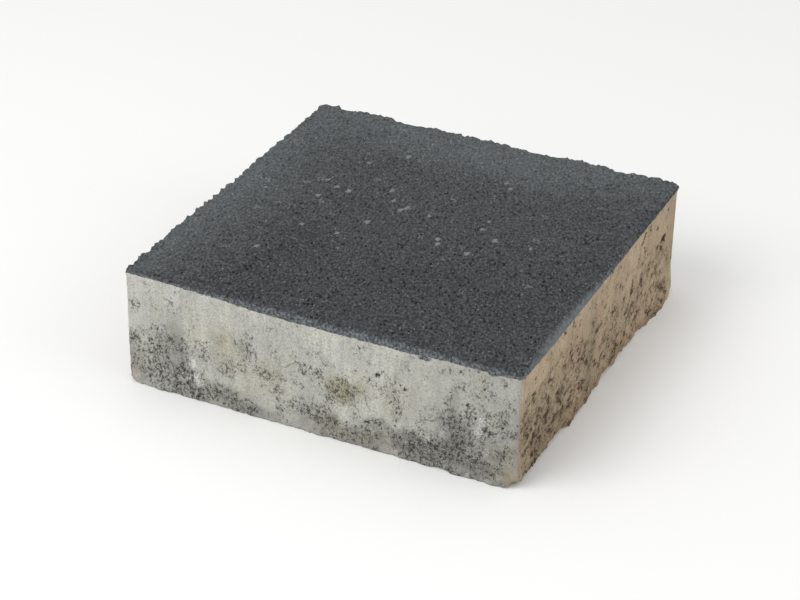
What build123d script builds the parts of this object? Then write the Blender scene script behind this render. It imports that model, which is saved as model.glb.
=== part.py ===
"""Square concrete paving block, pressed in one piece, with a dark wearing face and a pale body.

Frame: origin at the middle of the bed face, +Z up to the wearing face.
The face that looks along -Y is the front, the one along +X is the right.
All sizes are in millimetres.
"""

from build123d import *

import os
from dataclasses import dataclass
from enum import Enum
from math import sqrt

# Sizes of the block as it is sold
LENGTH = 200.0
WIDTH = 200.0
HEIGHT = 60.0

# Edges as the mould and wear leave them
UPRIGHT_RADIUS = 2.5
REAR_UPRIGHT_RADIUS = 5.0
WORN_ARRIS_RADIUS = 2.0
BED_ARRIS_RADIUS = 1.5


class Side(Enum):
    """A joint face, as the way it looks in plan."""

    FRONT = (0, -1)
    RIGHT = (1, 0)
    BACK = (0, 1)
    LEFT = (-1, 0)


class Level(Enum):
    """The end of the height that an edge lies at, as the way its flat face looks."""

    BED = -1
    WEARING = 1


@dataclass(frozen=True)
class CornerBreak:
    """A bed corner that has broken off along one slanting plane.

    Each setback is how far the plane meets that edge from the sharp corner.
    """

    x_way: int
    y_way: int
    setback_x: float
    setback_y: float
    setback_z: float


@dataclass(frozen=True)
class Chip:
    """A shell-shaped chip out of an edge.

    end says which end of the edge the inset is measured from, -1 or +1.
    length runs along the edge and depth goes in from the sharp edge.
    """

    side: Side
    level: Level
    end: int
    inset: float
    length: float
    depth: float


@dataclass(frozen=True)
class Pit:
    """A round hole in a side, where a stone has come out.

    end and inset place it along the side as they do a chip, and up is measured from the bed.
    """

    side: Side
    end: int
    inset: float
    up: float
    width: float
    depth: float


CORNER_BREAKS = (
    CornerBreak(x_way=-1, y_way=-1, setback_x=4.0, setback_y=4.0, setback_z=3.6),
    CornerBreak(x_way=1, y_way=-1, setback_x=8.0, setback_y=9.0, setback_z=6.0),
)

CHIPS = (
    Chip(Side.RIGHT, Level.BED, end=1, inset=74.0, length=12.0, depth=1.6),
    Chip(Side.RIGHT, Level.BED, end=1, inset=92.0, length=20.0, depth=2.6),
    Chip(Side.RIGHT, Level.BED, end=-1, inset=72.0, length=13.0, depth=1.8),
    Chip(Side.RIGHT, Level.BED, end=-1, inset=44.0, length=34.0, depth=3.0),
    Chip(Side.RIGHT, Level.BED, end=-1, inset=27.0, length=18.0, depth=2.8),
    Chip(Side.RIGHT, Level.BED, end=-1, inset=12.0, length=18.0, depth=3.0),
    Chip(Side.FRONT, Level.BED, end=1, inset=38.0, length=18.0, depth=1.5),
    Chip(Side.BACK, Level.WEARING, end=-1, inset=15.5, length=12.0, depth=2.4),
    Chip(Side.BACK, Level.WEARING, end=-1, inset=54.0, length=18.0, depth=2.2),
    Chip(Side.BACK, Level.WEARING, end=1, inset=78.0, length=18.0, depth=1.7),
    Chip(Side.BACK, Level.WEARING, end=1, inset=29.0, length=14.0, depth=1.7),
)

PITS = (
    Pit(Side.RIGHT, end=1, inset=20.5, up=36.5, width=8.0, depth=3.0),
)


def pressed_block():
    """The whole block with its edges rounded, most of all the rear right upright."""
    rear_corner = (LENGTH / 2, WIDTH / 2, 0)
    plan = Rectangle(LENGTH, WIDTH)
    plan = fillet(plan.vertices().sort_by_distance(rear_corner)[1:], UPRIGHT_RADIUS)
    plan = fillet(plan.vertices().sort_by_distance(rear_corner)[:1], REAR_UPRIGHT_RADIUS)
    block = extrude(plan, HEIGHT)
    block = fillet(block.faces().sort_by(Axis.Z)[-1].edges(), WORN_ARRIS_RADIUS)
    return fillet(block.faces().sort_by(Axis.Z)[0].edges(), BED_ARRIS_RADIUS)


def without_corner(block, broken):
    """The block with one bed corner taken off along its plane."""
    corner = Vector(broken.x_way * LENGTH / 2, broken.y_way * WIDTH / 2, 0)
    on_x_edge = corner - Vector(broken.x_way * broken.setback_x, 0, 0)
    on_y_edge = corner - Vector(0, broken.y_way * broken.setback_y, 0)
    on_upright = corner + Vector(0, 0, broken.setback_z)
    outward = (on_y_edge - on_x_edge).cross(on_upright - on_x_edge)
    if outward.dot(corner - on_x_edge) < 0:
        outward = -outward
    plane = Plane(origin=on_upright, z_dir=outward)
    return split(block, bisect_by=plane, keep=Keep.BOTTOM)


def beside(side, end, inset, standoff):
    """The place in plan that stands off from a side, inset from one of its ends."""
    x_way, y_way = side.value
    if x_way:
        return x_way * (LENGTH / 2 + standoff), end * (WIDTH / 2 - inset)
    return end * (LENGTH / 2 - inset), y_way * (WIDTH / 2 + standoff)


def hollow_radius(mouth, depth):
    """The radius of the ball that leaves a hollow with this mouth and depth."""
    return (mouth**2 / 4 + depth**2) / (2 * depth)


def chip_ball(chip):
    """The ball whose surface is the chip's hollow, standing out from the edge."""
    radius = hollow_radius(chip.length, chip.depth)
    standoff = (radius - chip.depth) / sqrt(2)
    x, y = beside(chip.side, chip.end, chip.inset, standoff)
    edge_z = HEIGHT if chip.level is Level.WEARING else 0.0
    return Pos(x, y, edge_z + chip.level.value * standoff) * Sphere(radius)


def pit_ball(pit):
    """The ball whose surface is the pit, standing out from the side."""
    radius = hollow_radius(pit.width, pit.depth)
    x, y = beside(pit.side, pit.end, pit.inset, radius - pit.depth)
    return Pos(x, y, pit.up) * Sphere(radius)


def paving_block():
    """The block with its broken corners, chipped edges and pits."""
    block = pressed_block()
    for broken in CORNER_BREAKS:
        block = without_corner(block, broken)
    for chip in CHIPS:
        block = block - chip_ball(chip)
    for pit in PITS:
        block = block - pit_ball(pit)
    return block


os.makedirs("parts", exist_ok=True)
export_step(paving_block(), "parts/paving_block.step")
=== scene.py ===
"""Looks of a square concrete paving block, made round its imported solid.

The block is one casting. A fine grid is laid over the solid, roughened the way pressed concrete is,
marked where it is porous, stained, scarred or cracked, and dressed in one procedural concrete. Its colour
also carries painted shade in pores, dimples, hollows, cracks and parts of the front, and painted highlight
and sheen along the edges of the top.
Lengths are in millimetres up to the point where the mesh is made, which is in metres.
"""

import logging
from dataclasses import dataclass, field
from enum import Enum
from math import cos, radians, sin
from typing import Iterable, NamedTuple, Union

import bpy
import numpy as np
from mathutils import Matrix, Vector, noise
from mathutils.bvhtree import BVHTree

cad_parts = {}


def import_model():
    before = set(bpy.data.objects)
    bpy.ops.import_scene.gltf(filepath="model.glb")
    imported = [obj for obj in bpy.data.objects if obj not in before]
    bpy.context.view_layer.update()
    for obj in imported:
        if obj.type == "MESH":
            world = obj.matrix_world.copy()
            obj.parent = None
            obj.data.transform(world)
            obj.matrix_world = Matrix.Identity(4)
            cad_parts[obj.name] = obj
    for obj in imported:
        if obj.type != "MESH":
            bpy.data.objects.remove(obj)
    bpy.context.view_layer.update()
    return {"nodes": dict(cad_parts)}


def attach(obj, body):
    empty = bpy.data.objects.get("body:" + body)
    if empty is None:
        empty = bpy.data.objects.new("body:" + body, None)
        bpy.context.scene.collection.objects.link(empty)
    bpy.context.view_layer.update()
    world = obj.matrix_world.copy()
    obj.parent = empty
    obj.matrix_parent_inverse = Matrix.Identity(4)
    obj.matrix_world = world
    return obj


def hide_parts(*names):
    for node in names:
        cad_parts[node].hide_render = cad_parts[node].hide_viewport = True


LOG = logging.getLogger("paving_block")
MM = 0.001
BLOCK_NODE = "paving_block"
BODY_NAME = "root"
BAKED_MAP = "OFBake"


class Tint(NamedTuple):
    """A colour as a picture shows it, each part from 0 to 255."""

    red: float
    green: float
    blue: float

    def linear(self) -> tuple[float, float, float, float]:
        """The colour as light, with full cover."""
        shares = [part / 255 for part in self]
        return (*(s / 12.92 if s <= 0.04045 else ((s + 0.055) / 1.055) ** 2.4 for s in shares), 1.0)


class Face(Enum):
    """A face of the block: its axis, the way it looks, and the axes that run across and up it."""

    WEARING = (2, 1, 0, 1)
    BED = (2, -1, 0, 1)
    FRONT = (1, -1, 0, 2)
    BACK = (1, 1, 0, 2)
    RIGHT = (0, 1, 1, 2)
    LEFT = (0, -1, 1, 2)

    def __init__(self, axis: int, way: int, across: int, up: int) -> None:
        """Keeps the parts of the value under their own names."""
        self.axis = axis
        self.way = way
        self.across = across
        self.up = up


class Mark(Enum):
    """What a patch of the surface shows, as the name of the mesh attribute that carries it."""

    OPEN = "open_texture"
    # Stains, and painted shade on parts of the front.
    DARK = "stain_and_painted_shade"
    SAND = "sand_tone"
    # An ochre tone, low on the right side.
    OCHRE = "ochre_tone"
    STRAW = "straw_stain"
    SCAR = "pale_scar"
    CRUMB = "facing_crumb"
    SPECK = "light_speck"
    # The smooth skin of the top, which has fewer pores, with a painted sheen that lightens it.
    SKIN = "smooth_skin_and_sheen"


def smooth_step(low: float | np.ndarray, high: float, amount: np.ndarray) -> np.ndarray:
    """A soft step from 0 at low to 1 at high.

    Args:
        low: Where the step starts; it may be above high for a falling step.
        high: Where the step ends.
        amount: The numbers to step.

    Returns:
        Numbers from 0 to 1.
    """
    share = np.clip((amount - low) / (high - low), 0.0, 1.0)
    return share * share * (3.0 - 2.0 * share)


def grain(places: np.ndarray, size: float, seed: float = 0.0) -> np.ndarray:
    """Smooth noise over points.

    Args:
        places: Points in mm, one a row.
        size: Size of the noise's swells in mm.
        seed: Moves the noise, so that two layers of one size differ.

    Returns:
        One number from about -1 to 1 for each point.
    """
    return np.array([noise.noise(p) for p in (places / size + seed).tolist()])


def cell_depth(places: np.ndarray, size: float) -> np.ndarray:
    """How near each point is to the middle of its random cell.

    Args:
        places: Points in mm, one a row.
        size: Size of the cells in mm.

    Returns:
        Distances in cells, one for each point.
    """
    return np.array([noise.voronoi(p)[0][0] for p in (places / size).tolist()])


@dataclass
class Spots:
    """The grid points of the block's surface.

    place is in mm, outward is the way each point moves when the surface swells, and owner is the
    face that each point lies on, as its place in the list of faces.
    """

    place: np.ndarray
    outward: np.ndarray
    owner: np.ndarray
    low: np.ndarray
    high: np.ndarray

    def on(self, face: Face) -> np.ndarray:
        """True for the points of one face."""
        return self.owner == list(Face).index(face)

    def below_top(self) -> np.ndarray:
        """How far each point lies below the wearing face, in mm."""
        return self.high[2] - self.place[:, 2]

    def above_bed(self) -> np.ndarray:
        """How far each point lies above the bed, in mm."""
        return self.place[:, 2] - self.low[2]

    def inside_sides(self) -> tuple[np.ndarray, np.ndarray]:
        """How far each point lies inside the nearest side along X and along Y, in mm."""
        gaps = np.minimum(self.place - self.low, self.high - self.place)
        return gaps[:, 0], gaps[:, 1]

    def near_edge(self, level: np.ndarray, reach: float) -> np.ndarray:
        """Closeness to the edges between the sides and a level face.

        Args:
            level: Distance of each point from the level face.
            reach: How far the closeness reaches, in mm.

        Returns:
            1 on the edge, falling to 0 at reach.
        """
        along_x, along_y = self.inside_sides()
        return smooth_step(reach, 0.0, np.maximum(level, np.minimum(along_x, along_y)))

    def near_side(self, face: Face, reach: float | np.ndarray) -> np.ndarray:
        """Closeness to one side, 1 on it and 0 at reach in mm."""
        end = self.high if face.way > 0 else self.low
        return smooth_step(reach, 0.0, np.abs(end[face.axis] - self.place[:, face.axis]))

    def near_upright(self, reach: float) -> np.ndarray:
        """Closeness to the upright edges, 1 on the edge and 0 at reach in mm."""
        along_x, along_y = self.inside_sides()
        return smooth_step(reach, 0.0, np.maximum(along_x, along_y))


@dataclass(frozen=True)
class Patch:
    """A soft-edged patch on one face, in mm.

    across is measured from the face's middle. up is measured from the bed, or from the middle on a
    level face. turn is in degrees.
    """

    across: float
    up: float
    half_across: float
    half_up: float
    strength: float = 1.0
    turn: float = 0.0

    def cover(self, spots: Spots, face: Face, ragged: np.ndarray) -> np.ndarray:
        """How much of the patch lies on each grid point.

        Args:
            spots: The grid points.
            face: The face that the patch is on.
            ragged: Noise that breaks up the patch's outline.

        Returns:
            Numbers from 0 to the patch's strength.
        """
        right = spots.place[:, face.across] - self.across
        rise = spots.place[:, face.up] - self.up
        along = right * cos(radians(self.turn)) + rise * sin(radians(self.turn))
        beside = rise * cos(radians(self.turn)) - right * sin(radians(self.turn))
        reach = np.hypot(along / self.half_across, beside / self.half_up)
        return self.strength * smooth_step(1.3, 0.35, reach + ragged) * spots.on(face)


@dataclass(frozen=True)
class Hollow:
    """A single hole left by a lost stone or an air bubble, in mm."""

    face: Face
    across: float
    up: float
    radius: float
    depth: float

    def share(self, spots: Spots) -> np.ndarray:
        """How deep each grid point lies in the hole, from 0 to 1."""
        right = spots.place[:, self.face.across] - self.across
        rise = spots.place[:, self.face.up] - self.up
        return smooth_step(1.0, 0.35, np.hypot(right, rise) / self.radius) * spots.on(self.face)


@dataclass(frozen=True)
class Crack:
    """A hairline crack across a side, from start to end as (across, up) in mm."""

    face: Face
    start: tuple[float, float]
    end: tuple[float, float]

    def offset(self, spots: Spots) -> tuple[np.ndarray, np.ndarray]:
        """Where each grid point lies beside the crack.

        Args:
            spots: The grid points.

        Returns:
            The signed distance to the crack's line in mm, and 1 along the crack falling to 0 past its ends.
        """
        start = np.array(self.start)
        run = np.array(self.end) - start
        length = np.hypot(*run)
        way = run / length
        flat = spots.place[:, [self.face.across, self.face.up]] - start
        along = flat @ way
        beside = flat @ np.array([-way[1], way[0]])
        inside = smooth_step(-1.0, 0.5, along) * smooth_step(length + 1.0, length - 0.5, along)
        return beside, inside * smooth_step(4.0, 2.5, np.abs(beside)) * spots.on(self.face)


BRIGHT_SPECKS = (
    (-81, 3), (-57, 24), (-54, 7), (-50, 19), (-43, 18), (-47, 49), (-24, 28), (-19, 19), (-12, 12), (-10, 15),
    (-21, -6), (-48, -22), (-29, -23), (-32, 64), (3, 13), (31, 21), (27, 56), (23, 61), (41, 5), (31, 12),
    (16, -6), (18, -10), (59, 6), (34, -12), (-57, -51),
)
FAINT_SPECKS = (
    (-82, 10), (-75, -17), (-68, -8), (-66, 17), (-60, 23), (-50, 3), (-35, 35), (-40, -6), (-26, 64),
    (53, 37), (58, 14), (75, 4), (71, -27), (26, -22), (7, 33), (-48, 90), (-22, -35),
)

MARKS: dict[tuple[Mark, Face], tuple[Patch, ...]] = {
    (Mark.OPEN, Face.FRONT): (
        Patch(-80, 26, 16, 9, 0.95),
        Patch(-82, 12, 16, 10),
        Patch(-69, 9, 12, 9),
        Patch(-53, 7, 14, 6, 0.95),
        Patch(-40, 4, 14, 5, 0.85),
        Patch(-95, 42, 4, 5, 0.5),
        Patch(-60, 28, 6, 7, 0.55),
        Patch(-46, 21, 6, 9, 0.75),
        Patch(-37, 35, 6, 9, 0.6),
        Patch(-11.5, 39.5, 3, 4, 0.6),
        Patch(21, 30, 5, 6, 0.25),
        Patch(-20, 9, 5, 5, 0.5),
        Patch(-27, 25, 9, 4, 0.8),
        Patch(-3, 34, 10, 4, 0.55),
        Patch(11, 28, 10, 8, 0.65),
        Patch(38, 32, 9, 9, 0.4),
        Patch(-8, 12.5, 8, 6, 0.75),
        Patch(3, 12, 8, 6, 0.9),
        Patch(16, 5, 18, 6, 0.75),
        Patch(30, 12, 9, 6, 0.7),
        Patch(47, 10, 12, 7, 0.8),
        Patch(60, 9, 20, 8),
        Patch(66.5, 24, 9.5, 4, 0.95, turn=-53),
        Patch(72, 18, 6, 6, 0.8),
        Patch(83, 6, 9, 6, 0.7),
        Patch(58, 0.5, 36, 4, 0.7),
        Patch(83, 29, 9, 9, 0.25),
        Patch(92, 24, 7, 12, 0.25),
        Patch(82, 30, 24, 34, 0.32),
        Patch(66, 36, 3, 16, 0.45),
        Patch(74, 24, 4, 14, 0.5),
        Patch(93, 28, 3, 18, 0.45),
        Patch(-97, 18, 6, 14, 0.7),
        Patch(0, 20, 120, 26, 0.16),
    ),
    # Stains on the front; some patches below are painted shade.
    (Mark.DARK, Face.FRONT): (
        Patch(-83, 16, 18, 14, 0.35),
        Patch(-60, 7, 22, 7, 0.55),
        Patch(-38, 3, 18, 5, 0.5),
        Patch(-74, 32, 5, 13, 0.35),
        Patch(-74, 24, 8, 13, 0.55),
        Patch(11, 28, 9, 8, 0.18),
        Patch(96, 2, 6, 4, 0.3),
        Patch(58, 0, 38, 4, 0.5),
        # Painted shade on the rounded right upright.
        Patch(98, 24, 3, 26, 0.3),
        Patch(3, 12, 9, 6, 0.3),
        Patch(83, 17, 8, 9, 0.35),
        Patch(-60, 46, 26, 13, 0.08),
        Patch(-18, 47, 24, 10, 0.05),
        Patch(-39, 36, 5, 9, 0.1),
        Patch(68, 22, 9, 5, 0.65, turn=-53),
        Patch(62, 8, 26, 9, 0.85),
        Patch(68, 17, 6, 14, 0.8, turn=-15),
        Patch(44, 9, 15, 8, 0.55),
        Patch(30, 11, 13, 8, 0.4),
        Patch(14, 4, 24, 5, 0.45),
        Patch(81, 4, 10, 7, 0.6),
        Patch(73, 21, 9, 10, 0.4),
        # Painted shade: the right half of the front darker, and on the next line its foot darker.
        Patch(95, 30, 60, 70, 0.3),
        Patch(0, -8, 130, 22, 0.4),
        Patch(68, 30, 4, 22, 0.3),
        Patch(92, 26, 4, 22, 0.25),
        Patch(-97, 14, 7, 14, 0.4),
    ),
    (Mark.SAND, Face.FRONT): (
        Patch(15, 4, 22, 6, 0.2),
        Patch(-97, 5, 4, 4, 0.3),
        Patch(97, 4, 5, 6, 0.6),
    ),
    (Mark.STRAW, Face.FRONT): (
        Patch(-46, 32, 11, 14, 0.55),
        Patch(-27, 26, 12, 8, 0.4),
        Patch(11, 28, 9, 8, 0.95),
        Patch(21, 30, 5, 6, 0.5),
        Patch(6, 9, 8, 5, 0.6),
        Patch(40, 30, 10, 12, 0.3),
        Patch(91, 12, 9, 13, 0.8),
        Patch(-15, 22, 30, 16, 0.18),
        Patch(31, 6, 8, 5, 0.4),
    ),
    (Mark.SCAR, Face.FRONT): (
        Patch(-65, 20, 2.0, 4, 0.75, turn=25),
        Patch(-62, 11, 3.2, 5, 0.9),
        Patch(81, 31, 2.4, 3.4, 0.6),
        Patch(80, 26, 2.6, 3.6, 0.6),
        Patch(84, 16, 2.4, 5, 0.35),
    ),
    (Mark.CRUMB, Face.FRONT): (
        Patch(45, 57.5, 3, 1.3),
        Patch(53.5, 56.3, 4, 1.6),
        Patch(86, 58, 3, 1.8),
    ),
    (Mark.OPEN, Face.RIGHT): (
        Patch(79, 33, 6, 7, 0.5),
        Patch(72, 27, 4, 9, 0.5),
        Patch(50, 41, 9, 11, 0.4),
        Patch(43, 32, 10, 12, 0.55),
        Patch(17, 40, 9, 12, 0.4),
        Patch(63, 6, 9, 6, 0.75),
        Patch(42, 13, 12, 8, 0.65),
        Patch(80, 9, 9, 9, 0.6),
        Patch(11, 14, 8, 12, 0.65),
        Patch(-29, 34, 9, 9, 0.65),
        Patch(-50, 36, 9, 9, 0.6),
        Patch(-48, 26, 11, 8, 0.75),
        Patch(-65, 26, 10, 9, 0.6),
        Patch(-76, 20, 8, 12, 0.85),
        Patch(-92, 33, 6, 13, 0.6),
        Patch(-86, 11, 12, 10, 0.55),
        Patch(-30, 12, 14, 10, 0.5),
        Patch(-66, 16, 52, 32, 0.65),
        Patch(0, 16, 130, 24, 0.4),
        Patch(40, 22, 40, 26, 0.15),
    ),
    (Mark.DARK, Face.RIGHT): (
        Patch(-14, 42, 6, 20, 0.4, turn=4),
        Patch(-17, 18, 7, 20, 0.45, turn=-6),
        Patch(-76, 20, 7, 12, 0.5),
        Patch(-80, 14, 34, 30, 0.4),
        Patch(-52, 25, 7, 6, 0.4),
        Patch(88, 52, 6, 9, 0.35),
        Patch(95, 42, 3, 14, 0.35),
    ),
    # An ochre tone along the foot of the right side.
    (Mark.OCHRE, Face.RIGHT): (
        Patch(0, 1, 110, 7, 0.7),
        Patch(25, 6, 14, 5, 0.5),
        Patch(-60, 9, 20, 6, 0.4),
    ),
    (Mark.SPECK, Face.WEARING): (
        *(Patch(across, up, 1.5, 2.3, 0.95) for across, up in BRIGHT_SPECKS),
        *(Patch(across, up, 3.4, 3.2, 0.45) for across, up in FAINT_SPECKS),
    ),
    # Smooth skin with painted sheen along the left and back edges of the top and part of its right edge.
    (Mark.SKIN, Face.WEARING): (
        Patch(-96, 0, 12, 130, 0.5),
        Patch(-98, 0, 40, 130, 0.42),
        Patch(0, 98, 140, 40, 0.7),
        Patch(-20, 80, 150, 110, 0.2),
        Patch(99.5, -54, 3, 42, 0.8),
    ),
    # Painted sheen on the facing along the top of the right side.
    (Mark.SKIN, Face.RIGHT): (Patch(-54, 59, 46, 5, 0.8),),
}

HOLLOWS = (
    Hollow(Face.RIGHT, 81.4, 37.6, 4.0, 0.6),
    Hollow(Face.RIGHT, 80, 32.8, 1.4, 0.4),
    Hollow(Face.RIGHT, 88.7, 23.5, 1.6, 0.6),
    Hollow(Face.RIGHT, 63, 5, 2.6, 1.6),
    Hollow(Face.RIGHT, 45, 11, 2.2, 1.4),
    Hollow(Face.RIGHT, 35, 18, 1.8, 0.9),
    Hollow(Face.RIGHT, -46, 30, 1.9, 1.0),
    Hollow(Face.FRONT, 30, 40.5, 1.9, 1.2),
    Hollow(Face.FRONT, 25, 14, 1.6, 0.9),
    Hollow(Face.FRONT, 44, 37.4, 1.5, 0.6),
    Hollow(Face.FRONT, 70.7, 54.2, 1.3, 0.5),
    Hollow(Face.FRONT, 81.9, 48.6, 1.3, 0.5),
    Hollow(Face.FRONT, 74.4, 37.8, 1.2, 0.4),
    Hollow(Face.FRONT, 78.2, 31.6, 1.3, 0.5),
    Hollow(Face.FRONT, 83, 28.5, 1.2, 0.5),
    Hollow(Face.FRONT, 91.5, 30.9, 1.2, 0.5),
)

CRACKS = (
    Crack(Face.FRONT, (15, 29), (18.4, 24)),
    Crack(Face.FRONT, (18.4, 24), (21.6, 18)),
    Crack(Face.FRONT, (23.4, 30), (26.4, 21)),
    Crack(Face.FRONT, (50, 22), (60, 26)),
    Crack(Face.FRONT, (-18, 31), (-9, 37)),
    Crack(Face.RIGHT, (76, 35), (73, 26)),
)


@dataclass(frozen=True)
class FaceBase:
    """How one face looks apart from its patches: shares from 0 to 1.

    random is how far chance patches show, which finish the faces that carry no placed patches.
    """

    open: float
    dark: float
    sand: float
    random: float


FACE_BASES = {
    Face.WEARING: FaceBase(open=0.0, dark=0.0, sand=0.0, random=0.0),
    Face.BED: FaceBase(open=0.75, dark=0.25, sand=0.15, random=0.3),
    Face.FRONT: FaceBase(open=0.12, dark=0.0, sand=0.0, random=0.25),
    Face.RIGHT: FaceBase(open=0.19, dark=0.05, sand=1.0, random=0.4),
    Face.BACK: FaceBase(open=0.3, dark=0.03, sand=0.15, random=0.9),
    Face.LEFT: FaceBase(open=0.35, dark=0.03, sand=0.45, random=0.9),
}


@dataclass(frozen=True)
class FacingLine:
    """The edge of the dark facing along one side, in mm, at points along the side.

    drop is how far the facing comes down the side. Below nought, the pale body shows on the edge itself.
    The third field is how far in from the side painted highlight lies on the facing's rounded arris on the top; it also
    sets how strong the highlight is on the side.
    """

    along: tuple[float, ...]
    drop: tuple[float, ...]
    highlight_width: tuple[float, ...]


# The third row of each line sets the width of painted highlight on the facing's arris.
FACING_LINES = {
    Face.FRONT: FacingLine(
        along=(-100, -80, -47, -30, 45, 62, 100),
        drop=(-2.5, -1.0, 0.6, 2.4, 2.4, 1.2, 1.0),
        highlight_width=(1.3, 2.0, 2.7, 3.2, 3.2, 2.6, 2.2),
    ),
    Face.RIGHT: FacingLine(along=(-100, -60, 0, 40, 100), drop=(0.6, 2.0, 1.5, 1.0, 0.6), highlight_width=(1.2, 2.3, 1.8, 0.9, 0.6)),
    Face.BACK: FacingLine(along=(-100, 0, 100), drop=(2.4, 3.0, 2.2), highlight_width=(0.8, 0.8, 0.8)),
    Face.LEFT: FacingLine(along=(-100, 0, 100), drop=(2.0, 2.8, 2.4), highlight_width=(0.8, 0.8, 0.8)),
}


@dataclass(frozen=True)
class EdgeLine:
    """How far an edge stands out past the mould's line, or lies back from it, in mm, at points along a side.

    foot is how far up the side an edge of the bed is felt.
    """

    along: tuple[float, ...]
    out: tuple[float, ...]
    foot: float = 6.0


WORN_EDGES = {
    Face.LEFT: EdgeLine(along=(-100, -92, -70, -20, 0, 60, 100), out=(0.2, 1.4, 0.9, 0.6, -0.6, -0.7, -1.0)),
    Face.BACK: EdgeLine(
        along=(-80, -76, -58, -54, -46, 4, 12, 20, 28, 40, 60, 68, 80, 86, 98),
        out=(0.0, 1.0, 0.9, -1.0, 0.0, 0.0, -0.3, -0.8, -0.3, 0.6, 0.7, -0.4, 0.6, 1.0, 1.2),
    ),
    Face.RIGHT: EdgeLine(along=(82, 92, 100), out=(0.0, 0.5, 0.6)),
}
BED_EDGES = {
    Face.FRONT: EdgeLine(along=(-100, -92, 40, 76, 96, 100), out=(0.0, 1.0, 1.1, 1.8, 1.6, 0.8), foot=5.0),
    Face.RIGHT: EdgeLine(
        along=(-48, -36, -22, -10, 48, 58, 70, 84, 92, 98),
        out=(0.3, 1.6, 1.6, 0.3, 0.3, 1.4, 2.8, 3.0, 2.2, 0.8),
        foot=16.0,
    ),
}


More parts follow.
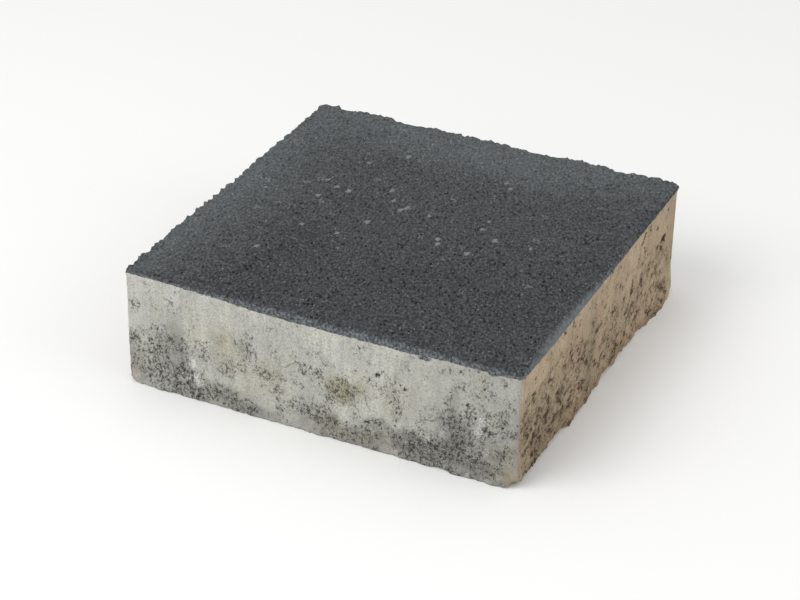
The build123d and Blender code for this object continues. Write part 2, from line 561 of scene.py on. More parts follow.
@dataclass
class CastingGrid:
    """A closed grid over the block, with its lines closer together near the edges. Sizes are in mm."""

    edge_step: float = 0.75
    middle_step: float = 1.28
    edge_band: float = 9.0
    fan_radius: float = 8.0
    start_outside: float = 6.0
    map_gutter: float = 0.8

    def lines(self, low: float, high: float) -> np.ndarray:
        """Places of the grid lines along one axis.

        Args:
            low: Lower end of the block.
            high: Upper end of the block.

        Returns:
            Places in mm, from low to high.
        """
        band_lines = round(self.edge_band / self.edge_step)
        middle_lines = round((high - low - 2 * self.edge_band) / self.middle_step)
        first = np.linspace(low, low + self.edge_band, band_lines + 1)
        middle = np.linspace(low + self.edge_band, high - self.edge_band, middle_lines + 1)
        last = np.linspace(high - self.edge_band, high, band_lines + 1)
        return np.concatenate([first, middle[1:-1], last])

    def lay(self, solid: bpy.types.Object) -> tuple[Spots, np.ndarray, np.ndarray]:
        """Lays the grid over a solid.

        Args:
            solid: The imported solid, in metres.

        Returns:
            The grid points, the four-sided faces as point numbers, and each corner's place on the map.
        """
        verts = np.array([v.co for v in solid.data.vertices]) / MM
        polygons = [list(p.vertices) for p in solid.data.polygons]
        tree = BVHTree.FromPolygons(verts.tolist(), polygons)
        low, high = verts.min(0), verts.max(0)
        axes = [self.lines(low[i], high[i]) for i in range(3)]
        counts = [len(axis) for axis in axes]
        steps = np.stack(np.meshgrid(*(np.arange(n) for n in counts), indexing="ij"), -1)
        last = np.array(counts) - 1
        skin = ((steps == 0) | (steps == last)).any(-1)
        numbers = np.full(counts, -1)
        numbers[skin] = np.arange(skin.sum())
        on_box = np.stack([axes[i][steps[skin][:, i]] for i in range(3)], -1)
        core = np.clip(on_box, low + self.fan_radius, high - self.fan_radius)
        outward = on_box - core
        outward /= np.linalg.norm(outward, axis=1, keepdims=True)
        place = self.cast(tree, core, outward)
        quads, corners = self.quads(numbers, axes)
        return Spots(place, outward, self.owners(outward), low, high), quads, corners

    def cast(self, tree: BVHTree, core: np.ndarray, outward: np.ndarray) -> np.ndarray:
        """Drops each grid point on to the solid from outside.

        Args:
            tree: The solid's faces.
            core: Where each point's way in ends.
            outward: Each point's way out.

        Returns:
            The points on the solid.
        """
        start = core + outward * (self.fan_radius * 1.8 + self.start_outside)
        hits = [tree.ray_cast(s, w)[0] for s, w in zip(start.tolist(), (-outward).tolist())]
        return np.array([tuple(hit) for hit in hits])

    @staticmethod
    def owners(outward: np.ndarray) -> np.ndarray:
        """The face that each way out looks along, as its place in the list of faces."""
        looks = np.stack([outward[:, face.axis] * face.way for face in Face], 1)
        return looks.argmax(1)

    def quads(self, numbers: np.ndarray, axes: list[np.ndarray]) -> tuple[np.ndarray, np.ndarray]:
        """Joins the grid points into four-sided faces that look outwards.

        Args:
            numbers: Point number at each crossing of the grid's lines.
            axes: Places of the lines along each axis.

        Returns:
            Faces as rows of point numbers, and the place of each corner on the map, from 0 to 1.
        """
        all_quads, all_corners = [], []
        for face in Face:
            end = -1 if face.way > 0 else 0
            sheet = np.take(numbers, end, axis=face.axis)
            across, up = axes[face.across], axes[face.up]
            wide, tall = np.meshgrid(across, up, indexing="ij")
            spread = self.on_map(face, wide, tall, across, up)
            turns = [(slice(None, -1), slice(None, -1)), (slice(1, None), slice(None, -1))]
            turns += [(slice(1, None), slice(1, None)), (slice(None, -1), slice(1, None))]
            handed = face.way * (-1 if face.axis == 1 else 1)
            turns = turns if handed > 0 else turns[::-1]
            all_quads.append(np.stack([sheet[t].ravel() for t in turns], 1))
            all_corners.append(np.stack([spread[t].reshape(-1, 2) for t in turns], 1))
        return np.concatenate(all_quads), np.concatenate(all_corners)

    def on_map(
        self, face: Face, wide: np.ndarray, tall: np.ndarray, across: np.ndarray, up: np.ndarray
    ) -> np.ndarray:
        """Lays one face out on the square map, beside the others.

        Args:
            face: The face.
            wide: Place of each crossing across the face.
            tall: Place of each crossing up the face.
            across: The lines across the face.
            up: The lines up the face.

        Returns:
            Places on the map from 0 to 1.
        """
        plan, height = 200.0, 60.0
        bed = 2 * height
        whole = plan + bed
        corner = {
            Face.WEARING: (0.0, 0.0, plan, plan),
            Face.RIGHT: (plan, 0.0, height, plan),
            Face.LEFT: (plan + height, 0.0, height, plan),
            Face.FRONT: (0.0, plan, plan, height),
            Face.BACK: (0.0, plan + height, plan, height),
            Face.BED: (plan, plan, bed, bed),
        }[face]
        right = (wide - across[0]) / (across[-1] - across[0])
        rise = (tall - up[0]) / (up[-1] - up[0])
        if face in (Face.RIGHT, Face.LEFT):
            right, rise = 1 - rise, right
        left, base, width, depth = corner
        room = np.array([width, depth]) - 2 * self.map_gutter
        spread = np.stack([right, rise], -1) * room + np.array([left, base]) + self.map_gutter
        return spread / whole


@dataclass
class CastingRelief:
    """How far the surface swells and sinks from the solid. Depths and sizes are in mm."""

    sink: float = 0.2
    proud: float = 3.0
    swell: float = 0.12
    swell_size: float = 28.0
    wearing_grain: float = 0.14
    wearing_grain_size: float = 2.6
    side_grain: float = 0.06
    worn_depth: float = 0.9
    loose_edge: float = 1.0
    worn_reach: float = 4.0
    bed_depth: float = 1.2
    ragged_edge: float = 0.7
    bed_reach: float = 6.0
    upright_depth: float = 0.5
    upright_reach: float = 4.0
    pit_depth: float = 0.55
    pit_size: float = 2.8

    def depth(self, spots: Spots, open_share: np.ndarray) -> tuple[np.ndarray, np.ndarray]:
        """Works out the relief.

        Args:
            spots: The grid points on the solid.
            open_share: How open the texture is at each point, from 0 to 1.

        Returns:
            How far each point moves outwards, and how deep it lies in a single hole, from 0 to 1.
        """
        p = spots.place
        level = spots.on(Face.WEARING).astype(float)
        rough = self.swell * grain(p, self.swell_size) - self.sink
        rough += (self.wearing_grain * level + self.side_grain * (1 - level)) * grain(p, self.wearing_grain_size)
        worn = spots.near_edge(spots.below_top(), self.worn_reach)
        loose = 1.0 + self.loose_edge * np.maximum(spots.near_side(Face.LEFT, 6.0), spots.near_side(Face.BACK, 6.0))
        rough += self.worn_depth * worn * loose * (0.55 * grain(p, 4.6, 3.1) + 0.85 * grain(p, 1.9, 7.7) - 0.05)
        for face, line in WORN_EDGES.items():
            rough += worn * self.stand_out(spots, face, line, 6.0)
        bed = spots.near_edge(spots.above_bed(), self.bed_reach)
        for face, line in BED_EDGES.items():
            rough += smooth_step(line.foot, 0.0, spots.above_bed()) * self.stand_out(spots, face, line, 3.0)
        ragged = 1.0 + self.ragged_edge * spots.near_side(Face.RIGHT, 8.0)
        rough += self.bed_depth * bed * ragged * (0.6 * grain(p, 8.0, 5.3) + 0.6 * grain(p, 2.8, 1.9) - 0.2)
        upright = spots.near_upright(self.upright_reach)
        rough += self.upright_depth * upright * (grain(p, 6.0, 9.4) - 0.2)
        pit = smooth_step(0.5, 0.15, cell_depth(p, self.pit_size)) * smooth_step(0.15, 0.9, open_share)
        rough -= self.pit_depth * pit
        hole = np.zeros(len(p))
        for hollow in HOLLOWS:
            share = hollow.share(spots)
            rough -= hollow.depth * share
            hole = np.maximum(hole, share)
        return rough, hole

    @staticmethod
    def stand_out(spots: Spots, face: Face, line: EdgeLine, reach: float) -> np.ndarray:
        """How far an edge carries each grid point outwards.

        Args:
            spots: The grid points.
            face: The side that the edge belongs to.
            line: The line of the edge.
            reach: How far in from the side the edge is felt, in mm.

        Returns:
            Distances in mm.
        """
        return np.interp(spots.place[:, face.across], line.along, line.out) * spots.near_side(face, reach)

    def kept(self, spots: Spots, rough: np.ndarray) -> np.ndarray:
        """Moves the grid points, but not below the bed nor far out of the block's box.

        Args:
            spots: The grid points on the solid.
            rough: How far each point moves outwards, in mm.

        Returns:
            The moved points.
        """
        room = np.array([self.proud, self.proud, 0.0])
        return np.clip(spots.place + spots.outward * rough[:, None], spots.low - room, spots.high + self.proud)


class Value:
    """A number that changes over the surface. Arithmetic on it adds Math nodes."""

    def __init__(self, sheet: "MaterialSheet", socket: bpy.types.NodeSocket) -> None:
        """Wraps one node's output."""
        self.sheet = sheet
        self.socket = socket

    def math(self, operation: str, first: "Number", second: "Number") -> "Value":
        """Adds one Math node.

        Args:
            operation: The node's operation.
            first: Its first number.
            second: Its second number.

        Returns:
            The node's result.
        """
        node = self.sheet.node("ShaderNodeMath", {"operation": operation}, {0: first, 1: second})
        return Value(self.sheet, node.outputs[0])

    def __add__(self, other: "Number") -> "Value":
        """Adds."""
        return self.math("ADD", self, other)

    def __sub__(self, other: "Number") -> "Value":
        """Takes away."""
        return self.math("SUBTRACT", self, other)

    def __rsub__(self, other: "Number") -> "Value":
        """Takes this away from another number."""
        return self.math("SUBTRACT", other, self)

    def __mul__(self, other: "Number") -> "Value":
        """Multiplies."""
        return self.math("MULTIPLY", self, other)

    __radd__ = __add__
    __rmul__ = __mul__

    def at_most(self, other: "Number") -> "Value":
        """The smaller of the two."""
        return self.math("MINIMUM", self, other)

    def at_least(self, other: "Number") -> "Value":
        """The larger of the two."""
        return self.math("MAXIMUM", self, other)

    def size(self) -> "Value":
        """The number without its sign."""
        return self.math("ABSOLUTE", self, 0.0)

    def step(self, low: float, high: float) -> "Value":
        """A soft step from 0 at low to 1 at high, or a falling one where low is above high."""
        rising = low < high
        ends = (low, high) if rising else (high, low)
        inputs = {"Value": self, "From Min": ends[0], "From Max": ends[1]}
        inputs |= {"To Min": 0.0 if rising else 1.0, "To Max": 1.0 if rising else 0.0}
        node = self.sheet.node("ShaderNodeMapRange", {"interpolation_type": "SMOOTHSTEP"}, inputs)
        return Value(self.sheet, node.outputs["Result"])


Number = Union[Value, float]
Feed = Union[Value, bpy.types.NodeSocket, float, tuple]


class MaterialSheet:
    """The nodes of one material."""

    def __init__(self, name: str) -> None:
        """Starts a material with an empty tree."""
        self.material = bpy.data.materials.new(name)
        self.material.use_nodes = True
        self.tree = self.material.node_tree
        self.tree.nodes.clear()

    def node(self, kind: str, settings: dict | None = None, inputs: dict | None = None) -> bpy.types.Node:
        """Adds one node.

        Args:
            kind: The node's type.
            settings: The node's own settings, set first.
            inputs: Values or links of its sockets, by name or number.

        Returns:
            The node.
        """
        node = self.tree.nodes.new(kind)
        for name, setting in (settings or {}).items():
            setattr(node, name, setting)
        for name, source in (inputs or {}).items():
            self.feed(node.inputs[name], source)
        return node

    def feed(self, socket: bpy.types.NodeSocket, source: Feed) -> None:
        """Links a socket to a source, or sets it to a constant."""
        if isinstance(source, Value):
            self.tree.links.new(source.socket, socket)
        elif isinstance(source, bpy.types.NodeSocket):
            self.tree.links.new(source, socket)
        else:
            socket.default_value = source

    def mark(self, name: str) -> Value:
        """A number that the mesh carries at its points."""
        node = self.node("ShaderNodeAttribute", {"attribute_name": name})
        return Value(self, node.outputs["Fac"])

    def place(self) -> bpy.types.NodeSocket:
        """The place on the object, in mm."""
        where = self.node("ShaderNodeTexCoord").outputs["Object"]
        scale = self.node("ShaderNodeVectorMath", {"operation": "SCALE"}, {0: where, "Scale": 1 / MM})
        return scale.outputs["Vector"]

    def stretched(self, place: bpy.types.NodeSocket, by: tuple[float, float, float]) -> bpy.types.NodeSocket:
        """A place multiplied along each axis."""
        node = self.node("ShaderNodeVectorMath", {"operation": "MULTIPLY"}, {0: place, 1: by})
        return node.outputs["Vector"]

    def turned(self, place: bpy.types.NodeSocket, angle: float) -> bpy.types.NodeSocket:
        """A place turned about the upright axis, by an angle in degrees."""
        inputs = {"Vector": place, "Angle": radians(angle)}
        return self.node("ShaderNodeVectorRotate", {"rotation_type": "Z_AXIS"}, inputs).outputs["Vector"]

    def noise(self, place: bpy.types.NodeSocket, size: float, detail: float = 2.0, rough: float = 0.5) -> Value:
        """Smooth noise from 0 to 1.

        Args:
            place: The place, in mm.
            size: Size of the noise's swells in mm.
            detail: How many finer layers it has.
            rough: How strong the finer layers are.

        Returns:
            The noise.
        """
        inputs = {"Vector": place, "Scale": 1 / size, "Detail": detail, "Roughness": rough}
        return Value(self, self.node("ShaderNodeTexNoise", None, inputs).outputs["Fac"])

    def warped(self, place: bpy.types.NodeSocket, size: float, reach: float) -> bpy.types.NodeSocket:
        """A place pushed about by noise, which makes round things ragged.

        Args:
            place: The place, in mm.
            size: Size of the noise's swells in mm.
            reach: How far the place is pushed, in mm.

        Returns:
            The pushed place.
        """
        push = self.node("ShaderNodeTexNoise", None, {"Vector": place, "Scale": 1 / size, "Detail": 1.0})
        middle = self.node("ShaderNodeVectorMath", {"operation": "SUBTRACT"}, {0: push.outputs["Color"], 1: (0.5,) * 3})
        by = self.node("ShaderNodeVectorMath", {"operation": "SCALE"}, {0: middle.outputs[0], "Scale": 2 * reach})
        return self.node("ShaderNodeVectorMath", {"operation": "ADD"}, {0: place, 1: by.outputs[0]}).outputs[0]

    def cells(self, place: bpy.types.NodeSocket, size: float) -> tuple[Value, Value, Value]:
        """Random cells.

        Args:
            place: The place, in mm.
            size: Size of the cells in mm.

        Returns:
            The distance from the cell's middle in cells, and two random numbers for the cell.
        """
        node = self.node("ShaderNodeTexVoronoi", None, {"Vector": place, "Scale": 1 / size})
        parts = self.node("ShaderNodeSeparateColor", None, {"Color": node.outputs["Color"]})
        red, green = parts.outputs["Red"], parts.outputs["Green"]
        return Value(self, node.outputs["Distance"]), Value(self, red), Value(self, green)

    def pores(self, place: bpy.types.NodeSocket, size: float, largest: float, density: Number) -> Value:
        """Round pores of mixed sizes.

        Args:
            place: The place, in mm.
            size: Spacing of the pores in mm.
            largest: Radius of the largest pore, in cells.
            density: Share of the cells that hold a pore.

        Returns:
            1 inside a pore and 0 outside.
        """
        distance, chance, girth = self.cells(place, size)
        held = (density - chance).step(0.0, 0.03)
        radius = (girth * 0.6 + 0.4) * largest
        return (radius * held - distance).step(0.0, 0.14)

    def mixed(self, share: Number, first: Feed, second: Feed, blend: str = "MIX") -> bpy.types.NodeSocket:
        """One colour laid over another.

        Args:
            share: How much of the second colour shows.
            first: The colour below.
            second: The colour on top.
            blend: How they mix.

        Returns:
            The mixed colour.
        """
        settings = {"data_type": "RGBA", "blend_type": blend, "clamp_factor": True}
        return self.node("ShaderNodeMix", settings, {0: share, 6: first, 7: second}).outputs[2]

    def lit(self, colour: Feed, by: Number) -> bpy.types.NodeSocket:
        """A colour made lighter or darker."""
        node = self.node("ShaderNodeVectorMath", {"operation": "SCALE"}, {0: colour, "Scale": by})
        return node.outputs["Vector"]


@dataclass(frozen=True)
class FacingFinish:
    """The dark, fine-grained concrete of the wearing face. Sizes are in mm.

    lie draws the grain out along the way that the face was drawn off, which lie_turn sets in degrees.
    """

    ground: Tint = Tint(40, 41, 42)
    light_grain: Tint = Tint(92, 95, 96)
    # Painted shade in the facing's pores.
    facing_pore_shade: Tint = Tint(10, 10, 11)
    light_stone: Tint = Tint(122, 127, 129)
    speck: Tint = Tint(150, 156, 158)
    # Painted highlight on the rounded arris of the facing.
    rim_highlight: Tint = Tint(124, 130, 133)
    # Pale blue-grey of the painted sheen on the smooth skin.
    skin: Tint = Tint(114, 125, 128)
    grain_size: float = 1.2
    lie: float = 0.6
    lie_turn: float = -21.0
    mottle_size: float = 16.0
    pore_size: float = 2.1
    stone_size: float = 1.3
    speck_size: float = 3.0


@dataclass(frozen=True)
class BodyFinish:
    """The pale to sandy concrete of the sides and the bed. Sizes are in mm."""

    pale: Tint = Tint(181, 180, 171)
    cool: Tint = Tint(170, 170, 164)
    straw: Tint = Tint(178, 175, 153)
    sandy: Tint = Tint(160, 142, 118)
    sandy_light: Tint = Tint(177, 158, 133)
    sandy_pink: Tint = Tint(174, 147, 126)
    sandy_olive: Tint = Tint(150, 139, 104)
    ochre: Tint = Tint(134, 106, 74)
    straw_stain: Tint = Tint(148, 141, 112)
    # Stain colour, also used for painted shade; then painted shade in dimples and in pores.
    stain_shade_tint: Tint = Tint(100, 99, 95)
    dimple_shade: Tint = Tint(112, 110, 104)
    pore_shade: Tint = Tint(44, 43, 40)
    # The same three for sandy concrete: stain with painted shade, painted dimple shade, painted pore shade.
    sandy_stain_shade_tint: Tint = Tint(106, 97, 79)
    sandy_dimple_shade: Tint = Tint(104, 82, 57)
    sandy_pore_shade: Tint = Tint(54, 39, 26)
    fleck: Tint = Tint(214, 214, 209)
    grain_size: float = 0.9
    tint_size: float = 18.0
    streak_size: float = 1.6
    run_size: float = 3.6
    pore_size: float = 1.4
    blot_size: float = 1.7
    sandy_blot_size: float = 2.6
    vein_size: float = 2.6
    cluster_size: float = 6.0
    bold_pore_size: float = 3.0


@dataclass(frozen=True)
class PressedConcrete:
    """The whole finish of the block: the facing over the body, with pores, stains and grain.

    Its colour also carries painted shade in pores, dimples, hollows, cracks and parts of the front, and
    painted highlight and sheen on the facing's edges.
    """

    facing: FacingFinish = field(default_factory=FacingFinish)
    body: BodyFinish = field(default_factory=BodyFinish)
    streak_stretch: float = 0.2
    run_stretch: float = 0.08
    pore_stretch: tuple[float, float, float] = (1.0, 0.6, 0.75)
    bump_depth: float = 0.0005
    bump_strength: float = 0.8
    shine: float = 0.25

    def material(self) -> bpy.types.Material:
        """Builds the material.

        Returns:
            The material, which reads the marks that the block's mesh carries.
        """
        sheet = MaterialSheet("pressed_concrete")
        place = sheet.place()
        line = sheet.noise(place, 1.5, 2.0) - 0.5
        facing = (sheet.mark("facing_rise") + line * 1.6).step(-0.3, 0.3)
        facing = facing.at_least((sheet.mark(Mark.CRUMB.value) + line).step(0.35, 0.65))
        top_colour, top_height = self.facing_look(sheet, place)
        body_colour, body_height = self.body_look(sheet, place)
        colour = sheet.mixed(facing, body_colour, top_colour)
        height = body_height + (top_height - body_height) * facing
        bump = sheet.node(
            "ShaderNodeBump",
            None,
            {"Strength": self.bump_strength, "Distance": self.bump_depth, "Height": height},
        )
        rough = sheet.noise(place, 2.0) * 0.15 + 0.8
        shader = sheet.node(
            "ShaderNodeBsdfPrincipled",
            None,
            {
                "Base Color": colour,
                "Roughness": rough,
                "Specular IOR Level": self.shine,
                "Normal": bump.outputs["Normal"],
            },
        )
        sheet.node("ShaderNodeOutputMaterial", None, {"Surface": shader.outputs["BSDF"]})
        return sheet.material

    def facing_look(self, sheet: MaterialSheet, place: bpy.types.NodeSocket) -> tuple[bpy.types.NodeSocket, Value]:
        """The dark facing.

        Args:
            sheet: The material's nodes.
            place: The place, in mm.

        Returns:
            Its colour and its height for the bump.
        """
        look = self.facing
        # The smooth skin, with fewer pores, and a painted sheen.
        skin = sheet.mark(Mark.SKIN.value)
        place = sheet.stretched(sheet.turned(place, look.lie_turn), (1.0, look.lie, 1.0))
        fine = sheet.noise(place, look.grain_size, 3.0, 0.72)
        mottle = sheet.noise(place, look.mottle_size, 3.0)
        light = (fine - 0.5) * (1.0 - skin * 0.25) + (mottle - 0.5) * 0.08 + skin * 0.03 + 0.43
        colour = sheet.mixed(light.step(0.28, 0.72), look.ground.linear(), look.light_grain.linear())
        pores = sheet.pores(sheet.warped(place, 1.4, 0.4), look.pore_size, 0.42, 0.68 - skin * 0.25)
        # Painted shade in the pores.
        colour = sheet.mixed(pores * (0.9 - skin * 0.4), colour, look.facing_pore_shade.linear())
        stones = sheet.pores(sheet.warped(place, 1.2, 0.3), look.stone_size, 0.36, 0.3 - skin * 0.1)
        colour = sheet.mixed(stones * 0.7, colour, look.light_stone.linear())
        # Painted sheen: the facing lightened and tinted pale blue-grey on the smooth skin.
        colour = sheet.mixed(skin * 0.17, sheet.lit(colour, skin * 0.7 + 1.0), look.skin.linear())
        specks = (sheet.mark(Mark.SPECK.value) + (fine - 0.5) * 1.3).step(0.25, 0.85)
        strays = sheet.pores(sheet.warped(place, 1.6, 0.9), look.speck_size, 0.4, 0.012)
        specks = specks.at_least(strays * 0.7)
        colour = sheet.mixed(specks * 0.5, colour, look.speck.linear())
        # Painted highlight on the rounded arris, flecked where there is no smooth skin.
        flecks = sheet.noise(place, 1.2, 2.0, 0.6).step(0.42, 0.64)
        highlight_share = flecks * (1.0 - skin) * 0.5 + skin * 0.3 + 0.18
        colour = sheet.mixed(sheet.mark("arris_highlight") * highlight_share, colour, look.rim_highlight.linear())
        height = fine * 0.7 - pores * 0.7 + specks * 0.2
        return colour, height

    def body_look(self, sheet: MaterialSheet, place: bpy.types.NodeSocket) -> tuple[bpy.types.NodeSocket, Value]:
        """The pale to sandy body.

        Args:
            sheet: The material's nodes.
            place: The place, in mm.

        Returns:
            Its colour and its height for the bump.
        """
        look = self.body
        sand = sheet.mark(Mark.SAND.value)
        fine = sheet.noise(place, look.grain_size, 3.0, 0.6)
        streak = sheet.noise(sheet.stretched(place, (1.0, 1.0, self.streak_stretch)), look.streak_size, 3.0)
        run = sheet.noise(sheet.stretched(place, (1.0, 1.0, self.run_stretch)), look.run_size, 3.0)
        tint = sheet.noise(place, look.tint_size, 3.0)
        pale = sheet.mixed(tint.step(0.35, 0.65), look.cool.linear(), look.pale.linear())
        straw = sheet.noise(sheet.stretched(place, (1.0, 1.0, 0.5)), look.tint_size * 0.7, 2.0).step(0.5, 0.75)
        pale = sheet.mixed(straw * 0.35, pale, look.straw.linear())
        sandy = sheet.mixed(tint.step(0.35, 0.65), look.sandy.linear(), look.sandy_light.linear())
        sandy = sheet.mixed(run.step(0.5, 0.66) * 0.5, sandy, look.sandy_olive.linear())
        sandy = sheet.mixed(straw * 0.5, sandy, look.sandy_pink.linear())
        colour = sheet.mixed(sand, pale, sandy)
        colour = sheet.mixed(sheet.mark(Mark.OCHRE.value) * (tint + 0.2), colour, look.ochre.linear())
        colour = sheet.mixed(sheet.mark(Mark.STRAW.value) * (tint + 0.2), colour, look.straw_stain.linear())
        brushed = (streak - 0.5) * 0.4 + (run - 0.5) * (0.5 - sand * 0.3)
        colour = sheet.lit(colour, brushed + (fine - 0.5) * (1.3 - sand * 0.1) + 1.01)
        # Stains, which also carry painted shade on parts of the front.
        stain_shade_share = sheet.mark(Mark.DARK.value) * (streak * 0.5 + run * 0.7 + fine * 0.9 - 0.2)
        stain_shade_colour = sheet.mixed(sand, look.stain_shade_tint.linear(), look.sandy_stain_shade_tint.linear())
        colour = sheet.mixed(stain_shade_share, colour, stain_shade_colour)
        opened, dimples, deep = self.body_pores(sheet, place)
        dimple_shade_colour = sheet.mixed(sand, look.dimple_shade.linear(), look.sandy_dimple_shade.linear())
        pore_shade_colour = sheet.mixed(sand, look.pore_shade.linear(), look.sandy_pore_shade.linear())
        # Painted shade in dimples and over open texture.
        colour = sheet.mixed(opened * (sand * 0.06 + 0.14) + dimples * (sand * 0.1 + 0.5), colour, dimple_shade_colour)
        # Painted shade in deep pores and hollows.
        colour = sheet.mixed(deep * (sheet.mark(Mark.DARK.value) * 0.12 + 0.84), colour, pore_shade_colour)
        flecks = sheet.noise(sheet.stretched(place, (1.7, 1.7, 1.7)), look.grain_size, 1.0).step(0.62, 0.74)
        flecks = flecks * (sheet.mark(Mark.OPEN.value) * 0.4 + 0.2)
        scar = (sheet.mark(Mark.SCAR.value) + (streak - 0.5) * 1.4 + (fine - 0.5) * 1.8).step(0.35, 0.8)
        colour = sheet.mixed(flecks.at_least(scar * 0.7) * (1.0 - sand * 0.4), colour, look.fleck.linear())
        wobble = (sheet.noise(place, 5.0, 3.0) - 0.5) * 6.0
        crack = (sheet.mark("crack_offset") + wobble).size().step(0.4, 0.05) * sheet.mark("crack_near")
        # Painted shade along the cracks.
        colour = sheet.mixed(crack * 0.45, colour, pore_shade_colour)
        height = fine * 0.5 + streak * 0.2 - dimples * 0.4 - deep * (sand * 0.6 + 0.7) - crack * 0.8 + scar * 0.3
        return colour, height

    def body_pores(self, sheet: MaterialSheet, place: bpy.types.NodeSocket) -> tuple[Value, Value, Value]:
        """The pores of the body, which crowd together where the texture is open.

        Args:
            sheet: The material's nodes.
            place: The place, in mm.

        Returns:
            Where the texture is open, where it is dimpled, and where there is a deep pore, each from 0 to 1.
        """
        look = self.body
        sand = sheet.mark(Mark.SAND.value)
        tall = sheet.stretched(place, self.pore_stretch)
        cluster = sheet.noise(place, look.cluster_size, 3.0)
        crowd = sheet.mark(Mark.OPEN.value) * 0.9 + (cluster - 0.5) * 1.9 - 0.12
        speckle = sheet.noise(sheet.warped(tall, 2.0, 0.5), look.blot_size, 3.0, 0.65)
        worms = sheet.noise(sheet.warped(tall, 2.4, 0.8), look.sandy_blot_size, 3.0, 0.65)
        depth = speckle + (worms - speckle) * sand + crowd * 0.15 - 0.69
        broken = sheet.noise(place, look.vein_size * 0.5, 3.0, 0.6)
        dots = sheet.pores(sheet.warped(tall, 1.2, 0.5), look.pore_size, 0.5, crowd * 0.5) * broken.step(0.36, 0.56)
        winding = (sheet.noise(sheet.warped(tall, 2.4, 0.8), look.vein_size, 2.0, 0.6) - 0.5).size()
        veins = (winding - crowd.at_least(0.0) * 0.045).step(0.03, 0.0) * broken.step(0.47, 0.57) * crowd.step(0.1, 0.5)
        bold_share = crowd * (sand * 0.25 + 0.15)
        bold = sheet.pores(sheet.warped(tall, 1.6, 1.0), look.bold_pore_size, 0.36, bold_share)
        # Painted shade in the single hollows.
        hole = (sheet.mark("hole") + (sheet.noise(place, 1.1, 2.0) - 0.5) * 1.4).step(0.35, 0.75)
        deep = ((depth + sand * 0.04) * (1.0 - sand * 0.3)).step(0.0, 0.07)
        deep = deep.at_least(dots * (0.95 - sand * 0.5)).at_least(veins * (0.85 - sand * 0.3))
        deep = deep.at_least(bold * broken.step(0.3, 0.5)).at_least(hole * 1.1)
        return crowd.step(0.0, 0.9), depth.step(-0.11, 0.02), deep


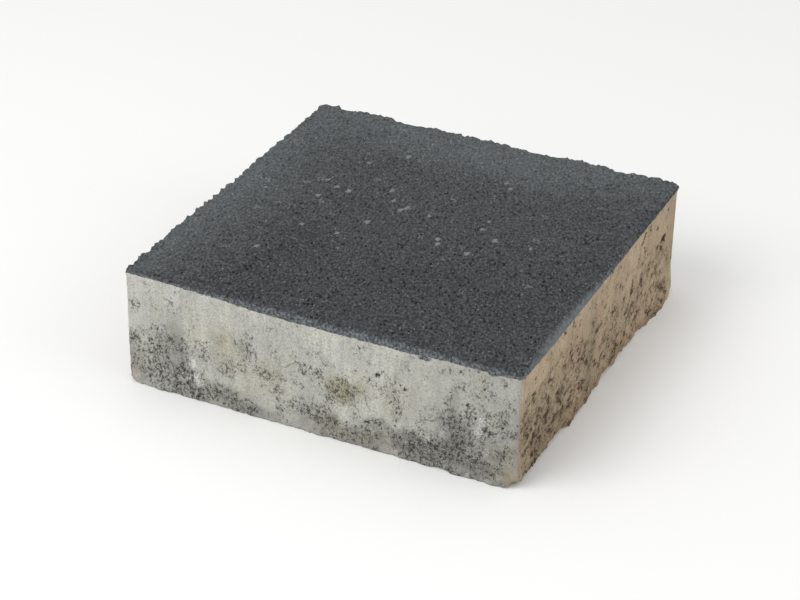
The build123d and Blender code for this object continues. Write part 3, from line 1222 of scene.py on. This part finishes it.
@dataclass
class PavingBlock:
    """The block: its grid, its relief, its marks and its finish."""

    grid: CastingGrid = field(default_factory=CastingGrid)
    relief: CastingRelief = field(default_factory=CastingRelief)
    finish: PressedConcrete = field(default_factory=PressedConcrete)
    level_lift: float = 3.0

    def build(self, solid: bpy.types.Object) -> bpy.types.Object:
        """Makes the block's mesh round its solid.

        Args:
            solid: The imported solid.

        Returns:
            The block.
        """
        spots, quads, corners = self.grid.lay(solid)
        marks = self.marks(spots)
        rough, hole = self.relief.depth(spots, marks[Mark.OPEN.value])
        marks["hole"] = hole
        place = self.relief.kept(spots, rough)
        mesh = bpy.data.meshes.new(BLOCK_NODE)
        mesh.from_pydata((place * MM).tolist(), [], quads.tolist())
        for name, amounts in marks.items():
            attribute = mesh.attributes.new(name, "FLOAT", "POINT")
            attribute.data.foreach_set("value", amounts.astype(np.float32))
        layout = mesh.uv_layers.new(name=BAKED_MAP)
        layout.data.foreach_set("uv", corners.reshape(-1).astype(np.float32))
        mesh.shade_smooth()
        mesh.validate()
        block = bpy.data.objects.new("block", mesh)
        bpy.context.scene.collection.objects.link(block)
        return block

    def dress(self, block: bpy.types.Object) -> None:
        """Gives the block its finish and its place on the frame."""
        block.data.materials.append(self.finish.material())
        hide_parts(BLOCK_NODE)
        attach(block, BODY_NAME)

    def marks(self, spots: Spots) -> dict[str, np.ndarray]:
        """Works out what each grid point shows.

        Args:
            spots: The grid points on the solid.

        Returns:
            Numbers for each mark's name.
        """
        ragged = 0.3 * grain(spots.place, 7.0, 2.3) + 0.22 * grain(spots.place, 2.6, 4.9)
        chance = smooth_step(0.05, 0.5, grain(spots.place, 20.0, 6.1) + 0.3 * grain(spots.place, 6.0, 8.3))
        chance *= smooth_step(1.1, 0.1, spots.above_bed() / (spots.high[2] - spots.low[2]))
        base = [FACE_BASES[face] for face in Face]
        random = np.array([b.random for b in base])[spots.owner] * chance
        found = {mark: np.zeros(len(spots.place)) for mark in Mark}
        found[Mark.OPEN] = np.maximum(np.array([b.open for b in base])[spots.owner], random)
        found[Mark.DARK] = np.array([b.dark for b in base])[spots.owner] + 0.45 * random
        found[Mark.SAND] = self.sand_tone(spots)
        for (mark, face), patches in MARKS.items():
            found[mark] = over(found[mark], (patch.cover(spots, face, ragged) for patch in patches))
        named = {mark.value: amounts for mark, amounts in found.items()}
        named["facing_rise"] = self.facing_rise(spots)
        named["arris_highlight"] = self.arris_highlight(spots)
        named["crack_offset"], named["crack_near"] = self.cracks(spots)
        return named

    @staticmethod
    def sand_tone(spots: Spots) -> np.ndarray:
        """How sandy each grid point is apart from patches; the tone changes softly round the upright edges."""
        own = np.array([FACE_BASES[face].sand for face in Face])[spots.owner]
        sides = [face for face in Face if face.up == 2]
        facing = np.stack([(face.way * spots.outward[:, face.axis]).clip(0.0) ** 16 for face in sides])
        shared = np.array([FACE_BASES[face].sand for face in sides]) @ facing / facing.sum(0).clip(1e-12)
        return np.where(spots.on(Face.WEARING) | spots.on(Face.BED), own, shared)

    def facing_rise(self, spots: Spots) -> np.ndarray:
        """How far each grid point lies above the lower line of the dark facing, in mm."""
        drop = np.zeros(len(spots.place))
        for face, line in FACING_LINES.items():
            drop += np.interp(spots.place[:, face.across], line.along, line.drop) * spots.on(face)
        near = np.stack(spots.inside_sides()).min(0) + spots.below_top()
        level = spots.outward[:, 2].clip(0.0) ** 2
        waver = 0.5 * grain(spots.place, 5.0, 1.3)
        rise = drop - spots.below_top() + self.level_lift * level + waver * (level < 0.5)
        return np.where(spots.on(Face.WEARING), np.maximum(rise, np.minimum(near, self.level_lift)), rise)

    @staticmethod
    def arris_highlight(spots: Spots) -> np.ndarray:
        """How strongly painted highlight lies on the facing's rounded arris at each grid point, from 0 to 1."""
        rim_highlight = np.zeros(len(spots.place))
        for face, line in FACING_LINES.items():
            highlight_width = np.interp(spots.place[:, face.across], line.along, line.highlight_width)
            on_side = smooth_step(0.4, 2.4, highlight_width) * spots.on(face)
            rim_highlight = np.maximum(rim_highlight, np.maximum(on_side, spots.near_side(face, highlight_width) * spots.on(Face.WEARING)))
        return rim_highlight

    @staticmethod
    def cracks(spots: Spots) -> tuple[np.ndarray, np.ndarray]:
        """Where each grid point lies beside its nearest crack.

        Args:
            spots: The grid points.

        Returns:
            The signed distance to the crack in mm, and how near the point is, from 0 to 1.
        """
        beside = np.full(len(spots.place), 9.0)
        near = np.zeros(len(spots.place))
        for crack in CRACKS:
            offset, inside = crack.offset(spots)
            beside = np.where(inside > near, offset, beside)
            near = np.maximum(near, inside)
        return beside, near


def over(ground: np.ndarray, covers: Iterable[np.ndarray]) -> np.ndarray:
    """Lays covers over a ground, so that together they come nearer to 1.

    Args:
        ground: What is there, from 0 to 1.
        covers: What is laid over it, each from 0 to 1.

    Returns:
        The ground with its covers.
    """
    bare = 1.0 - ground
    for cover in covers:
        bare = bare * (1.0 - cover)
    return 1.0 - bare


@dataclass
class Studio:
    """A plain pale floor, soft light and the camera. Lengths are in metres and angles in degrees."""

    floor_half: float = 3.0
    floor_tint: Tint = Tint(244, 244, 243)
    sky: float = 0.72
    image_width: int = 800
    sensor_width: float = 36.0
    azimuth: float = 24.865
    elevation: float = 30.832
    roll: float = 1.178
    distance: float = 1.147
    focal_pixels: float = 2400.6
    target: tuple[float, float, float] = (0.00338, -0.01965, 0.030)

    def lay_floor(self) -> bpy.types.Object:
        """Lays the floor.

        Returns:
            The floor.
        """
        half = self.floor_half
        mesh = bpy.data.meshes.new("floor")
        mesh.from_pydata([(-half, -half, 0), (half, -half, 0), (half, half, 0), (-half, half, 0)], [], [(0, 1, 2, 3)])
        sheet = MaterialSheet("pale_floor")
        shader = sheet.node("ShaderNodeBsdfPrincipled", None, {"Base Color": self.floor_tint.linear(), "Roughness": 0.9})
        sheet.node("ShaderNodeOutputMaterial", None, {"Surface": shader.outputs["BSDF"]})
        mesh.materials.append(sheet.material)
        floor = bpy.data.objects.new("floor", mesh)
        bpy.context.scene.collection.objects.link(floor)
        return floor

    def light(self) -> None:
        """Sets the soft light that comes from all round and the lamps."""
        world = bpy.data.worlds.new("studio")
        world.use_nodes = True
        ground = world.node_tree.nodes["Background"]
        ground.inputs["Color"].default_value = (1.0, 1.0, 1.0, 1.0)
        ground.inputs["Strength"].default_value = self.sky
        bpy.context.scene.world = world
        self.lamp("key", azimuth=-32.0, elevation=46.0, distance=1.6, size=1.1, power=13.0)
        self.lamp("fill", azimuth=95.0, elevation=30.0, distance=1.8, size=1.2, power=5.0)

    def lamp(self, name: str, azimuth: float, elevation: float, distance: float, size: float, power: float) -> None:
        """Adds one square lamp that looks at the block.

        Args:
            name: The lamp's name.
            azimuth: Its way round from the front, in degrees.
            elevation: Its way up, in degrees.
            distance: How far it is from the block.
            size: The length of its sides.
            power: Its power in watts.
        """
        data = bpy.data.lights.new(name, "AREA")
        data.size = size
        data.energy = power
        lamp = bpy.data.objects.new(name, data)
        way = self.way(azimuth, elevation)
        lamp.location = Vector(self.target) + distance * way
        lamp.rotation_euler = way.to_track_quat("Z", "Y").to_euler()
        bpy.context.scene.collection.objects.link(lamp)

    @staticmethod
    def way(azimuth: float, elevation: float) -> Vector:
        """The way out from the block, with azimuth 0 in front of it."""
        turn, rise = radians(azimuth), radians(elevation)
        return Vector((sin(turn) * cos(rise), -cos(turn) * cos(rise), sin(rise)))

    def set_camera(self) -> bpy.types.Object:
        """Sets the camera where the photograph was taken from.

        Returns:
            The camera.
        """
        data = bpy.data.cameras.new("camera")
        data.sensor_width = self.sensor_width
        data.sensor_fit = "HORIZONTAL"
        data.lens = self.focal_pixels / self.image_width * self.sensor_width
        camera = bpy.data.objects.new("camera", data)
        back = self.way(self.azimuth, self.elevation)
        level = Vector((cos(radians(self.azimuth)), sin(radians(self.azimuth)), 0.0))
        upright = back.cross(level)
        right = level * cos(radians(self.roll)) + upright * sin(radians(self.roll))
        up = upright * cos(radians(self.roll)) - level * sin(radians(self.roll))
        turn = Matrix((right, up, back)).transposed().to_4x4()
        camera.matrix_world = Matrix.Translation(Vector(self.target) + self.distance * back) @ turn
        bpy.context.scene.collection.objects.link(camera)
        bpy.context.scene.camera = camera
        return camera


def main() -> None:
    """Builds the block and the studio, and reports each piece."""
    logging.basicConfig(level=logging.INFO)
    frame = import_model()
    maker = PavingBlock()
    block = maker.build(frame["nodes"][BLOCK_NODE])
    maker.dress(block)
    LOG.info("%s: %d faces", block.name, len(block.data.polygons))
    studio = Studio()
    floor = studio.lay_floor()
    LOG.info("%s: %.1f m wide", floor.name, 2 * studio.floor_half)
    studio.light()
    camera = studio.set_camera()
    LOG.info("%s: %.0f mm lens", camera.name, camera.data.lens)
    bpy.context.scene.view_settings.view_transform = "Standard"


if __name__ == "__main__":
    main()
